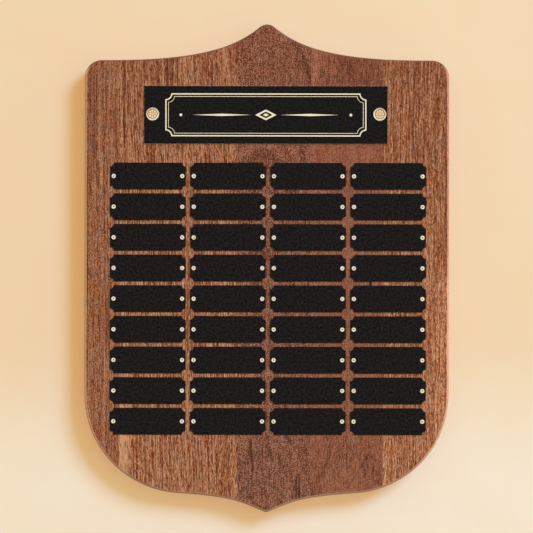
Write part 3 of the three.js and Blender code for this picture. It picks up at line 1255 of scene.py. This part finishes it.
    def build(self) -> None:
        """Make the sheets, their enamel and the pins."""
        plates, pins = self.tree(Layout.SINGLE), self.tree(Layout.PAIRED)
        swing = (0.0, math.radians(self.wobble), 0.0)
        tilt = (math.radians(self.pin_tilt), math.pi, math.radians(self.pin_tilt))
        self.spread("name_plate_sheets", self.sheet_mesh(), plates, swing, SHEARED_BRASS.material())
        self.spread("name_plate_enamel", self.film_mesh(), plates, swing, PLATE_ENAMEL.material())
        self.spread("name_plate_pins", self.pin_mesh(), pins, tilt, DOMED_BRASS.material())


@dataclass
class HeaderPlate:
    """The header: a brass sheet under black enamel, engraved with a plain border and a small lozenge."""

    centre: Vector
    width: float
    height: float
    seat: float
    sheet: float = 0.7
    film: float = 0.1
    burr: float = 0.06
    border_width: float = 168.0
    border_height: float = 36.0
    border_notch: float = 5.0
    border_line: float = 1.1
    inner_gap: float = 1.3
    inner_line: float = 0.5
    lozenge_reach: float = 9.0
    lozenge_rise: float = 4.5
    lozenge_shares: Triple = (1.0, 0.62, 0.3)
    rule_reach: float = 62.0
    rule_rise: float = 1.0
    bead_radius: float = 1.2
    bead_steps: int = 16
    notch_steps: int = 8
    weld: float = 0.002

    def frame_line(self, inset: float, line: float) -> list[list[Point]]:
        """Draw both sides of one border line.

        Args:
            inset: how far inside the border it lies.
            line: its width.

        Returns:
            Its outer and inner outlines.
        """
        width, height = self.border_width - 2 * inset, self.border_height - 2 * inset
        outer = notched_outline(width, height, self.border_notch, self.notch_steps)
        return [outer, inset_outline(outer, line)]

    def diamond(self, x: float, reach: float, rise: float) -> list[Point]:
        """Draw a four-pointed figure round a place on the middle line."""
        return [(x + reach, 0.0), (x, rise), (x - reach, 0.0), (x, -rise)]

    def engraving(self) -> list[list[Point]]:
        """List the closed lines that the engraver cuts.

        Returns:
            Outlines round the plate's centre.
        """
        shapes = self.frame_line(0.0, self.border_line)
        shapes += self.frame_line(self.border_line + self.inner_gap, self.inner_line)
        for share in self.lozenge_shares:
            shapes.append(self.diamond(0.0, share * self.lozenge_reach, share * self.lozenge_rise))
        half_rule = (self.rule_reach - self.lozenge_reach) / 2 - self.bead_radius
        for side in (-1, 1):
            middle = side * (self.lozenge_reach + 2 * self.bead_radius + half_rule)
            shapes.append(self.diamond(middle, half_rule, self.rule_rise))
            bead = (side * (self.lozenge_reach + self.rule_reach), 0)
            shapes.append(arc(bead, self.bead_radius, 0, 360, self.bead_steps)[:-1])
        return shapes

    def rectangle(self, inset: float) -> list[Point]:
        """Draw the plate's own outline, moved in by an inset."""
        x, z = self.width / 2 - inset, self.height / 2 - inset
        return [(x, z), (x, -z), (-x, -z), (-x, z)]

    def sheet_mesh(self) -> bpy.types.Mesh:
        """Make the sheared brass sheet.

        Returns:
            The sheet, in place.
        """
        outline = [(x + self.centre.x, z + self.centre.z) for x, z in self.rectangle(0.0)]
        front = self.seat - self.sheet
        rings = [(0.0, self.seat), (0.0, front + self.burr), (self.burr, front)]
        return finish_mesh(slab(outline, rings), "header_sheet")

    def film_mesh(self) -> bpy.types.Mesh:
        """Make the enamel with the engraving cut through it, so that the brass shows.

        Returns:
            The enamel, in place.
        """
        curve = bpy.data.curves.new("header_enamel", "CURVE")
        curve.dimensions = "2D"
        curve.fill_mode = "BOTH"
        curve.extrude = self.film / 2 * MM
        for outline in [self.rectangle(self.burr)] + self.engraving():
            spline = curve.splines.new("POLY")
            spline.points.add(len(outline) - 1)
            spline.use_cyclic_u = True
            for point, (x, z) in zip(spline.points, outline):
                point.co = (x * MM, z * MM, 0.0, 1.0)
        data = evaluated(link_object("header_enamel", curve), "header_enamel")
        front = self.seat - self.sheet - self.film / 2
        data.transform(Matrix.Rotation(math.pi / 2, 4, "X"))
        data.transform(Matrix.Translation(Vector((self.centre.x, front, self.centre.z)) * MM))
        mesh = bmesh.new()
        mesh.from_mesh(data)
        bmesh.ops.remove_doubles(mesh, verts=mesh.verts, dist=self.weld * MM)
        bmesh.ops.recalc_face_normals(mesh, faces=mesh.faces)
        return finish_mesh(mesh, "header_enamel")

    def build(self) -> None:
        """Make the sheet and its enamel, and dress them."""
        nodes = ["header_plate"]
        dress("header_sheet", self.sheet_mesh(), ENGRAVED_BRASS.material(), nodes)
        dress("header_enamel", self.film_mesh(), HEADER_ENAMEL.material(), nodes)


@dataclass
class RosetteTack:
    """A stamped rosette tack: a smooth rolled rim round a crown of petals and a centre boss."""

    name: str
    centre: Vector
    seat: float
    head_radius: float = 5.5
    rim_inner_radius: float = 4.05
    rim_height: float = 1.15
    rim_crest_share: float = 0.22
    lip_height: float = 0.15
    valley_height: float = 0.6
    crown_height: float = 2.2
    boss_radius: float = 1.0
    boss_height: float = 0.45
    petals: int = 8
    petal_relief: float = 0.5
    petal_power: float = 0.7
    arch_power: float = 0.6
    root_relief: float = 0.35
    root_width_share: float = 0.2
    rim_power: float = 1.1
    crown_patina: float = 0.5
    sides: int = 96
    rings: int = 44

    def stamp(self, radius: float, angle: float) -> Point:
        """Give the stamped height above the seat, and how dark the recess is there.

        Args:
            radius: distance from the tack's middle, in millimetres.
            angle: direction round it, in radians.

        Returns:
            The height in millimetres, and the patina: 0 on the polished rim, a little on the crown and 1
            in the grooves.
        """
        if radius >= self.rim_inner_radius:
            across = (radius - self.rim_inner_radius) / (self.head_radius - self.rim_inner_radius)
            crest = min(across / self.rim_crest_share, 1.0)
            fall = max((across - self.rim_crest_share) / (1 - self.rim_crest_share), 0.0)
            roll = (self.rim_height - self.valley_height) * math.sin(math.pi / 2 * crest)
            drop = (self.rim_height - self.lip_height) * fall**self.rim_power
            return self.valley_height + roll - drop, 1 - crest
        swell = self.crown_height - self.boss_height - self.valley_height
        dome = self.valley_height + swell * (1 - (radius / self.rim_inner_radius) ** 2)
        if radius < self.boss_radius:
            boss = self.boss_height * math.sqrt(1 - (radius / self.boss_radius) ** 2)
            return dome + boss, self.crown_patina
        along = (radius - self.boss_radius) / (self.rim_inner_radius - self.boss_radius)
        arch = math.sin(math.pi * along) ** self.arch_power
        leaf = abs(math.cos(self.petals / 2 * angle))
        sunk = (1 - leaf**self.petal_power) * arch + self.root_relief * (1 - arch)
        groove = 1 - min(leaf, along / self.root_width_share, (1 - along) / self.root_width_share)
        patina = self.crown_patina + (1 - self.crown_patina) * groove
        return dome - self.petal_relief * sunk, min(patina, 1.0)

    def mesh(self) -> bpy.types.Mesh:
        """Make the head as one closed shell with a flat underside.

        Returns:
            The head, in place, with its patina as an attribute.
        """
        mesh = bmesh.new()
        patina = mesh.verts.layers.float.new("patina")
        rows = []
        for ring in range(self.rings + 1):
            radius = self.head_radius * ring / self.rings
            row = []
            for side in range(self.sides if ring else 1):
                angle = 2 * math.pi * side / self.sides
                x = self.centre.x + radius * math.cos(angle)
                z = self.centre.z + radius * math.sin(angle)
                height, dark = self.stamp(radius, angle)
                vert = mesh.verts.new(Vector((x, self.seat - height, z)) * MM)
                vert[patina] = dark
                row.append(vert)
            rows.append(row)
        mesh.faces.new(rows[-1])
        turned(rows, self.sides, mesh)
        return finish_mesh(mesh, self.name)

    def build(self) -> None:
        """Make the head and dress it."""
        dress(f"{self.name}_head", self.mesh(), STAMPED_BRASS.material(), [self.name])


@dataclass
class Studio:
    """The wall, the lights and the camera, set for the photograph's frontal view."""

    bounds: tuple[Vector, Vector]
    pixels_per_shield: float = 365.6
    shield_width: float = 304.8
    lens: float = 120.0
    sensor: float = 36.0
    offset_x_pixels: float = 0.2
    offset_z_pixels: float = 1.8
    roll: float = -0.1
    wall_half: float = 900.0
    wall_gap: float = 0.6
    # The paper colour is only the lit share; a painted glow, emitted to the camera alone, adds the rest of
    # the cream and sets how warm and deep the shield's shadow looks.
    paper: str = "#9eb19f"
    paper_foot: str = "#a6c7c0"
    paper_painted_glow: str = "#be8055"
    foot_painted_glow: str = "#be8060"
    foot_span: Span = (-50.0, -190.0)
    mottle_mm: Triple = (40.0, 40.0, 40.0)
    mottle_detail: float = 3.0
    mottle_span: Span = (0.2, 0.8, 0.0, 0.08)
    key_direction: Triple = (17.0, -19.0, 16.0)
    key_distance: float = 4000.0
    key_size: float = 1600.0
    key_power: float = 124.0
    key_colour: Triple = (0.82, 0.98, 1.52)
    camera_ray_colour: str = "#f3e4cc"
    ambient_colour: Triple = (0.66, 0.56, 0.235)
    ambient_slant: Triple = (0.56, 0.0, 0.56)
    reflected_colour: tuple[float, ...] = (0.97, 0.92, 0.83, 1.0)
    dark_colour: tuple[float, ...] = (0.11, 0.09, 0.06, 1.0)
    dark_cone: Point = (17.0, 27.0)

    def wall(self) -> None:
        """Hang a pale cream backdrop, clear from behind, just behind the shield."""
        half, depth = self.wall_half * MM, self.wall_gap * MM
        mesh = bmesh.new()
        corners = ((-half, -half), (half, -half), (half, half), (-half, half))
        mesh.faces.new([mesh.verts.new((x, depth, z)) for x, z in corners])
        wall = link_object("cream_wall", finish_mesh(mesh, "cream_wall"))
        wall.data.materials.append(self.wall_material())
        wall.visible_shadow = False
        wall.visible_diffuse = False
        wall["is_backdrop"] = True

    def wall_material(self) -> Material:
        """Make matt cream paper, paler towards the foot, with a painted warm glow that only the camera sees,
        clear from behind.

        Returns:
            The material.
        """
        material, tree = new_material("cream_backdrop_paper")
        place = object_millimetres(tree)
        height = add_node(tree, SPLIT, links=(place,)).outputs[2]
        foot = add_node(tree, RANGE, SMOOTH, (height, *self.foot_span))
        papers = {0: foot, UNDER: linear(self.paper), OVER: linear(self.paper_foot)}
        painted_glows = {0: foot, UNDER: linear(self.paper_painted_glow), OVER: linear(self.foot_painted_glow)}
        paper, painted_glow = add_node(tree, MIX, COLOURS, papers), add_node(tree, MIX, COLOURS, painted_glows)
        mottle = blotches(tree, place, self.mottle_mm, self.mottle_detail)
        faint = add_node(tree, RANGE, SMOOTH, (mottle, *self.mottle_span))
        colour = add_node(tree, MIX, COLOURS, {0: faint, UNDER: paper, OVER: painted_glow})
        look = {"Base Color": colour, "Roughness": 0.9, "Specular IOR Level": 0.0}
        shader = add_node(tree, "ShaderNodeBsdfPrincipled", links=look)
        seen = add_node(tree, "ShaderNodeLightPath").outputs["Is Camera Ray"]
        # Painted glow: the wall emits to the camera though it is no lamp, which warms and lifts the shadow
        # on it.
        emission = add_node(tree, "ShaderNodeEmission", links={"Color": painted_glow, "Strength": seen})
        lit = add_node(tree, "ShaderNodeAddShader", links=(shader, emission))
        behind = add_node(tree, "ShaderNodeNewGeometry").outputs["Backfacing"]
        clear = add_node(tree, "ShaderNodeBsdfTransparent")
        mixed = add_node(tree, "ShaderNodeMixShader", links=(behind, lit, clear))
        add_node(tree, "ShaderNodeOutputMaterial", links={"Surface": mixed})
        return material

    def key_light(self) -> None:
        """Set one large soft light up to the right, so that the shadow falls left and down."""
        light = bpy.data.lights.new("key_softbox", "AREA")
        light.shape = "DISK"
        light.size = self.key_size * MM
        light.energy = self.key_power
        light.color = self.key_colour
        lamp = link_object("key_softbox", light)
        direction = Vector(self.key_direction).normalized()
        lamp.location = direction * self.key_distance * MM
        lamp.rotation_euler = direction.to_track_quat("Z", "Y").to_euler()
        lamp.visible_glossy = False

    def world(self) -> None:
        """Light the room, a little more from above and the right, with a dark side for metal to mirror."""
        world = bpy.data.worlds.new("studio_room")
        bpy.context.scene.world = world
        world.use_nodes = True
        tree = world.node_tree
        tree.nodes.clear()
        direction = add_node(tree, "ShaderNodeTexCoord").outputs["Generated"]
        dot = add_node(tree, VECTOR, {"operation": "DOT_PRODUCT"}, (direction, (0, -1, 0)))
        inner, outer = (math.cos(math.radians(angle)) for angle in self.dark_cone)
        dark = add_node(tree, RANGE, SMOOTH, (dot.outputs["Value"], outer, inner))
        mirrored = {0: dark, UNDER: self.reflected_colour, OVER: self.dark_colour}
        room = add_node(tree, MIX, COLOURS, mirrored)
        slant = add_node(tree, VECTOR, {"operation": "DOT_PRODUCT"}, (direction, self.ambient_slant))
        level = add_node(tree, MATH, links=(slant.outputs["Value"], 1.0))
        ambient = add_node(tree, VECTOR, SCALED, {0: self.ambient_colour, "Scale": level})
        rays = add_node(tree, "ShaderNodeLightPath").outputs
        glossy = {0: rays["Is Glossy Ray"], UNDER: ambient, OVER: room}
        lighting = add_node(tree, MIX, COLOURS, glossy)
        seen = {0: rays["Is Camera Ray"], UNDER: lighting, OVER: linear(self.camera_ray_colour)}
        colour = add_node(tree, MIX, COLOURS, seen)
        background = add_node(tree, "ShaderNodeBackground", links={"Color": colour, "Strength": 1.0})
        add_node(tree, "ShaderNodeOutputWorld", links=(background,))

    def camera(self) -> None:
        """Stand square in front of the shield, as the photographer did."""
        pixel = self.shield_width / self.pixels_per_shield
        distance = self.lens / self.sensor * IMAGE_PIXELS * pixel
        low, high = self.bounds
        data = bpy.data.cameras.new("front_camera")
        data.lens = self.lens
        data.sensor_width = self.sensor
        camera = link_object("front_camera", data)
        x = (low.x + high.x) / 2 - self.offset_x_pixels * pixel * MM
        z = (low.z + high.z) / 2 + self.offset_z_pixels * pixel * MM
        camera.location = (x, low.y - distance * MM, z)
        camera.rotation_euler = (math.pi / 2, math.radians(self.roll), 0)
        bpy.context.scene.camera = camera

    def build(self) -> None:
        """Set up the whole studio."""
        self.wall()
        self.key_light()
        self.world()
        self.camera()
        bpy.context.scene.view_settings.view_transform = "Standard"


# Brass and enamel of the small parts. Engraved brass has a matt floor, so it looks paler than polished.
SHEARED_BRASS = Brass("sheared_brass_edge", "#a8874f", "#7d6238", 0.4)
DOMED_BRASS = Brass("domed_brass_pins", "#fff6ea", "#ecdcbc", 0.18)
STAMPED_BRASS = Brass("stamped_brass_rosette", "#fff8e8", "#fdebcf", 0.2, patina="#d8a868")
ENGRAVED_BRASS = Brass("engraved_brass", "#fff6dc", "#eadcb4", 0.6, (0.4, 3.0, 0.4), metallic=0.35)
PLATE_ENAMEL = BlackEnamel("black_enamel_name_plates", "#040304", "#231f21")
HEADER_ENAMEL = BlackEnamel("black_enamel_header", "#030203", "#211d1f")

STAVE_CUTS = (
    WalnutCut(
        "walnut_left_edge_stave",
        ("#6a2306", "#8d5137", "#a16c50", "#b78469"),
        heart=(-420.0, 60.0),
        ring_width=1.2,
        taper=0.01,
        sway=2.5,
        seed=1.3,
        pore_amount=0.35,
        contrast=0.95,
        streaks=(
            Streak(-134.0, 3.5, -75.0, 5.0, (0.78, 0.72, 0.7)),
            Streak(-146.0, 5.0, 60.0, 190.0, (0.84, 0.8, 0.8)),
            Streak(-138.0, 60.0, 70.0, 300.0, (0.92, 0.91, 0.91)),
        ),
        straight_marks=(
            # A painted shade: a dark line along the face's left edge, where the rounding begins.
            Streak(-149.8, 0.7, -112.0, 112.0, (0.5, 0.42, 0.38), core=0.4, fade=0.15),
            Streak(-144.3, 1.0, 80.0, 140.0, (0.62, 0.52, 0.52)),
        ),
    ),
    WalnutCut(
        "walnut_wide_tan_stave",
        ("#681f04", "#925535", "#a87153", "#c29275"),
        heart=(-330.0, 90.0),
        ring_width=0.9,
        taper=0.02,
        sway=4.0,
        seed=4.1,
        lean=0.03,
        pore_amount=0.6,
        contrast=1.1,
        fibre_share=1.4,
        strand_share=1.1,
        dash_share=1.3,
        dash_length=2.1,
        hue_swing=0.08,
        streaks=(
            Streak(-121.0, 14.0, -260.0, 260.0, (1.1, 1.12, 1.12)),
            Streak(-119.1, 0.9, -300.0, -120.0, (0.66, 0.57, 0.55)),
            Streak(-116.2, 2.2, -300.0, -110.0, (1.2, 1.3, 1.3)),
            Streak(-112.1, 0.9, -260.0, -130.0, (0.66, 0.57, 0.55)),
            Streak(-105.4, 1.0, -260.0, -120.0, (0.6, 0.5, 0.5)),
            Streak(-97.8, 0.9, -260.0, -130.0, (0.7, 0.62, 0.6)),
            Streak(-92.0, 1.0, -260.0, -130.0, (0.66, 0.57, 0.55)),
            Streak(-64.0, 9.0, 140.0, 230.0, (1.12, 1.14, 1.12)),
            Streak(-36.0, 20.0, -150.0, 60.0, (1.14, 1.18, 1.18)),
            Streak(-72.0, 90.0, 90.0, 300.0, (0.9, 0.83, 0.79)),
            Streak(-72.0, 120.0, -330.0, -118.0, (1.05, 1.05, 1.05), fade=0.1),
        ),
        straight_marks=(
            Streak(-123.4, 9.5, -400.0, -40.0, (1, 1, 1), core=0.55, even="#d9a37d"),
            Streak(-119.1, 1.1, 95.0, 190.0, (0.4, 0.3, 0.3), core=0.5, fade=0.15),
            Streak(-90.9, 0.9, 130.0, 250.0, (0.68, 0.6, 0.6)),
            Streak(-83.3, 1.1, 130.0, 250.0, (0.32, 0.22, 0.22), core=0.45),
            Streak(-80.2, 1.6, 130.0, 250.0, (0.62, 0.52, 0.52)),
            Streak(-74.8, 0.9, 130.0, 250.0, (0.58, 0.48, 0.48)),
            Streak(-45.6, 0.9, 130.0, 250.0, (0.66, 0.57, 0.57)),
        ),
    ),
    WalnutCut(
        "walnut_middle_red_stave",
        ("#501404", "#7a412c", "#8e5b4a", "#a87a65"),
        heart=(-5.0, 70.0),
        ring_width=1.8,
        taper=0.16,
        sway=6.0,
        seed=7.7,
        pore_amount=0.75,
        contrast=0.95,
        ring_share=0.55,
        fibre_share=0.75,
        strand_share=0.3,
        dash_share=2.9,
        dash_length=0.8,
        hue_swing=0.06,
        streaks=(
            Streak(5.0, 90.0, 70.0, 330.0, (1.0, 0.92, 0.86)),
            Streak(-16.5, 14.0, -150.0, -50.0, (1.22, 1.3, 1.3)),
            Streak(0.5, 7.0, -140.0, 75.0, (0.95, 0.93, 0.93)),
            Streak(-13.0, 1.4, -172.0, -142.0, (0.4, 0.33, 0.36), fade=0.15, slant=-0.14),
            Streak(24.6, 0.9, -198.0, -171.0, (0.42, 0.34, 0.34), core=0.5, fade=0.15),
            Streak(26.8, 0.9, -198.0, -171.0, (0.42, 0.34, 0.34), core=0.5, fade=0.15),
            Streak(1.5, 1.6, -163.0, -142.0, (0.82, 0.8, 0.8), slant=-0.5),
            Streak(4.5, 1.6, -176.0, -150.0, (0.84, 0.8, 0.8), slant=-0.35),
        ),
    ),
    WalnutCut(
        "walnut_fine_red_stave",
        ("#64200b", "#864b33", "#97614d", "#ab7b64"),
        heart=(70.0, 260.0),
        ring_width=1.8,
        taper=0.05,
        sway=3.0,
        seed=11.2,
        pore_amount=0.45,
        contrast=0.78,
        ring_share=0.38,
        broad_share=0.22,
        fibre_share=0.5,
        strand_share=0.3,
        dash_share=2.3,
        dash_length=0.7,
        hue_swing=0.06,
        streaks=(
            Streak(87.8, 1.5, -15.6, -8.8, (0.1, 0.06, 0.06), core=0.5, fade=0.3),
            Streak(67.0, 90.0, 70.0, 330.0, (1.0, 0.93, 0.88)),
            Streak(93.0, 40.0, 140.0, 330.0, (0.91, 0.88, 0.9), core=0.55, fade=0.1),
            Streak(39.0, 4.5, -120.0, 260.0, (1.16, 1.22, 1.22)),
            Streak(66.0, 9.0, -120.0, 260.0, (0.92, 0.9, 0.9)),
            Streak(77.5, 1.4, -188.0, -146.0, (0.76, 0.7, 0.72), slant=0.62),
            Streak(53.5, 1.2, -182.0, -138.0, (1.15, 1.13, 1.12), slant=0.28),
            Streak(50.5, 3.0, -182.0, -138.0, (0.88, 0.85, 0.86), slant=0.28),
        ),
    ),
    WalnutCut(
        "walnut_right_edge_stave",
        ("#681f03", "#8e512f", "#ab7254", "#ca9777"),
        heart=(420.0, 70.0),
        ring_width=1.4,
        taper=0.01,
        sway=3.0,
        seed=15.9,
        pore_amount=0.65,
        contrast=0.87,
        ring_share=0.5,
        broad_share=0.14,
        fibre_share=1.3,
        strand_share=1.0,
        dash_share=1.4,
        dash_length=1.9,
        hue_swing=0.1,
        streaks=(
            Streak(125.0, 60.0, 75.0, 300.0, (0.87, 0.81, 0.78), fade=0.12),
            Streak(125.0, 60.0, 0.0, 110.0, (0.95, 0.93, 0.9), fade=0.3),
            Streak(114.5, 4.0, -150.0, 200.0, (1.14, 1.18, 1.18)),
            Streak(148.0, 14.0, -170.0, 30.0, (1.24, 1.27, 1.26), fade=0.3),
            Streak(112.0, 40.0, -300.0, -110.0, (1.1, 1.12, 1.12)),
        ),
        straight_marks=(
            # A painted shade: a dark line along the face's right edge, where the rounding begins.
            Streak(149.7, 0.9, -30.0, 180.0, (0.62, 0.44, 0.44), core=0.4, fade=0.2),
            Streak(120.2, 1.1, 75.0, 185.0, (0.6, 0.5, 0.5), fade=0.2, slant=-0.09),
            Streak(131.5, 0.9, 140.0, 190.0, (0.7, 0.6, 0.6)),
            Streak(134.2, 0.9, 140.0, 190.0, (0.68, 0.58, 0.58)),
        ),
    ),
)


def box_mm(node: str) -> tuple[Vector, Vector]:
    """Give a CAD node's lowest and highest corners in millimetres."""
    low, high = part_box(node)
    return Vector(low) / MM, Vector(high) / MM


def build_board() -> ShieldBoard:
    """Work the board's sizes out of the CAD staves and build it.

    Returns:
        The board.
    """
    boxes = [box_mm(f"stave_{index + 1}") for index in range(len(STAVE_CUTS))]
    edges = [low.x for low, _ in boxes] + [boxes[-1][1].x]
    bottom = min(low.z for low, _ in boxes)
    top = max(high.z for _, high in boxes)
    outline = ShieldOutline(width=edges[-1] - edges[0], height=top - bottom)
    board = ShieldBoard(edges, outline, thickness=-boxes[0][0].y, cuts=STAVE_CUTS)
    board.build()
    return board


def build_header(board: ShieldBoard) -> None:
    """Build the header plate and its two tacks where the CAD has them.

    Args:
        board: the board that carries them.
    """
    low, high = box_mm("header_plate")
    header = HeaderPlate((low + high) / 2, high.x - low.x, high.z - low.z, seat=-board.thickness)
    header.build()
    for name in ("rosette_tack_left", "rosette_tack_right"):
        tack_low, tack_high = box_mm(name)
        radius = (tack_high.x - tack_low.x) / 2
        seat = header.seat - header.sheet - header.film
        RosetteTack(name, (tack_low + tack_high) / 2, seat, radius).build()


def build_plates(board: ShieldBoard) -> None:
    """Work the grid out of the CAD plates and build it on the board.

    Args:
        board: the board that carries them.
    """
    names = [f"name_plate_r{row + 1}_c{column + 1}" for row in range(ROWS) for column in range(COLUMNS)]
    first_low, first_high = box_mm(names[0])
    last_low, last_high = box_mm(names[-1])
    grid = PlateGrid(
        nodes=names,
        columns=COLUMNS,
        rows=ROWS,
        width=first_high.x - first_low.x,
        height=first_high.z - first_low.z,
        column_pitch=(last_low.x - first_low.x) / (COLUMNS - 1),
        row_pitch=(first_low.z - last_low.z) / (ROWS - 1),
        centre=Vector(((first_low.x + last_high.x) / 2, 0, (first_high.z + last_low.z) / 2)),
        seat=-board.thickness,
    )
    grid.build()


def main() -> None:
    """Load the frame, build every piece in order and set up the studio."""
    logging.basicConfig(level=logging.INFO, format="%(name)s: %(message)s")
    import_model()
    cad_box = [list(corner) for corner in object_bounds()]
    board = build_board()
    build_header(board)
    build_plates(board)
    Studio(tuple(Vector(corner) for corner in cad_box)).build()


if __name__ == "__main__":
    main()
